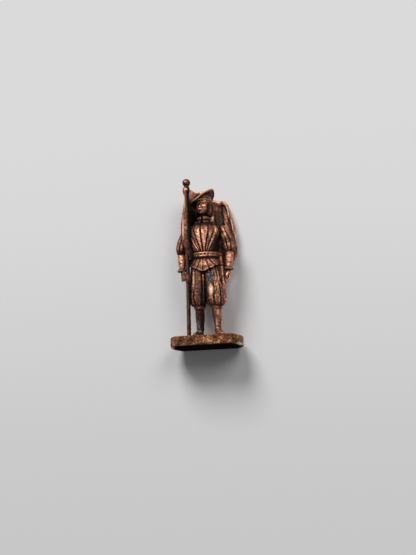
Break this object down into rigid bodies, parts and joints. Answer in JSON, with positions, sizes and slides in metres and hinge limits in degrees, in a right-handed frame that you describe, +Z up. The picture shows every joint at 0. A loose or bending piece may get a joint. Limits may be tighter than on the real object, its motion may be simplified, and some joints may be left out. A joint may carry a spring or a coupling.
{
  "type": "toy soldier figure",
  "caption": "Small cast-metal standard bearer in slashed doublet, puffed breeches and wide hat, with flag and sword, standing on an oval hollow plinth.",
  "frame": {"origin": "centre of the plinth's underside", "axes": "+Z up, the figure faces -Y, his right hand and the flag's pole are at -X"},
  "size_m": [0.017, 0.0094, 0.0402],
  "materials": {
    "plinth_copper": "rough cast, aged",
    "antique_copper": "aged copper plate, dark in the grooves",
    "dark_copper": "dark patina",
    "bright_copper": "rubbed copper plate"
  },
  "bodies": {
    "root": {"plinth": "plinth_copper", "right_shoe": "antique_copper", "left_shoe": "antique_copper", "right_hose": "antique_copper", "left_hose": "antique_copper", "right_garter": "dark_copper", "left_garter": "dark_copper", "right_breeches": "antique_copper", "left_breeches": "antique_copper", "peplum": "antique_copper", "belt": "bright_copper", "buckle": "bright_copper", "doublet": "antique_copper", "collar": "dark_copper", "right_puff_sleeve": "antique_copper", "left_puff_sleeve": "antique_copper", "right_lower_sleeve": "bright_copper", "left_lower_sleeve": "bright_copper", "right_cuff": "dark_copper", "left_cuff": "dark_copper", "right_hand": "antique_copper", "left_hand": "antique_copper", "head": "antique_copper", "moustache": "dark_copper", "hair": "dark_copper", "hat_band": "bright_copper", "hat_crown": "dark_copper", "hat_brim": "antique_copper", "flag_pole": "antique_copper", "pole_ball": "antique_copper", "flag_roll": "bright_copper", "flag_tail": "bright_copper", "flag_drape": "antique_copper", "scabbard": "dark_copper", "chape": "bright_copper", "sword_guard": "bright_copper", "sword_grip": "dark_copper", "sword_pommel": "bright_copper"}
  },
  "joints": []
}
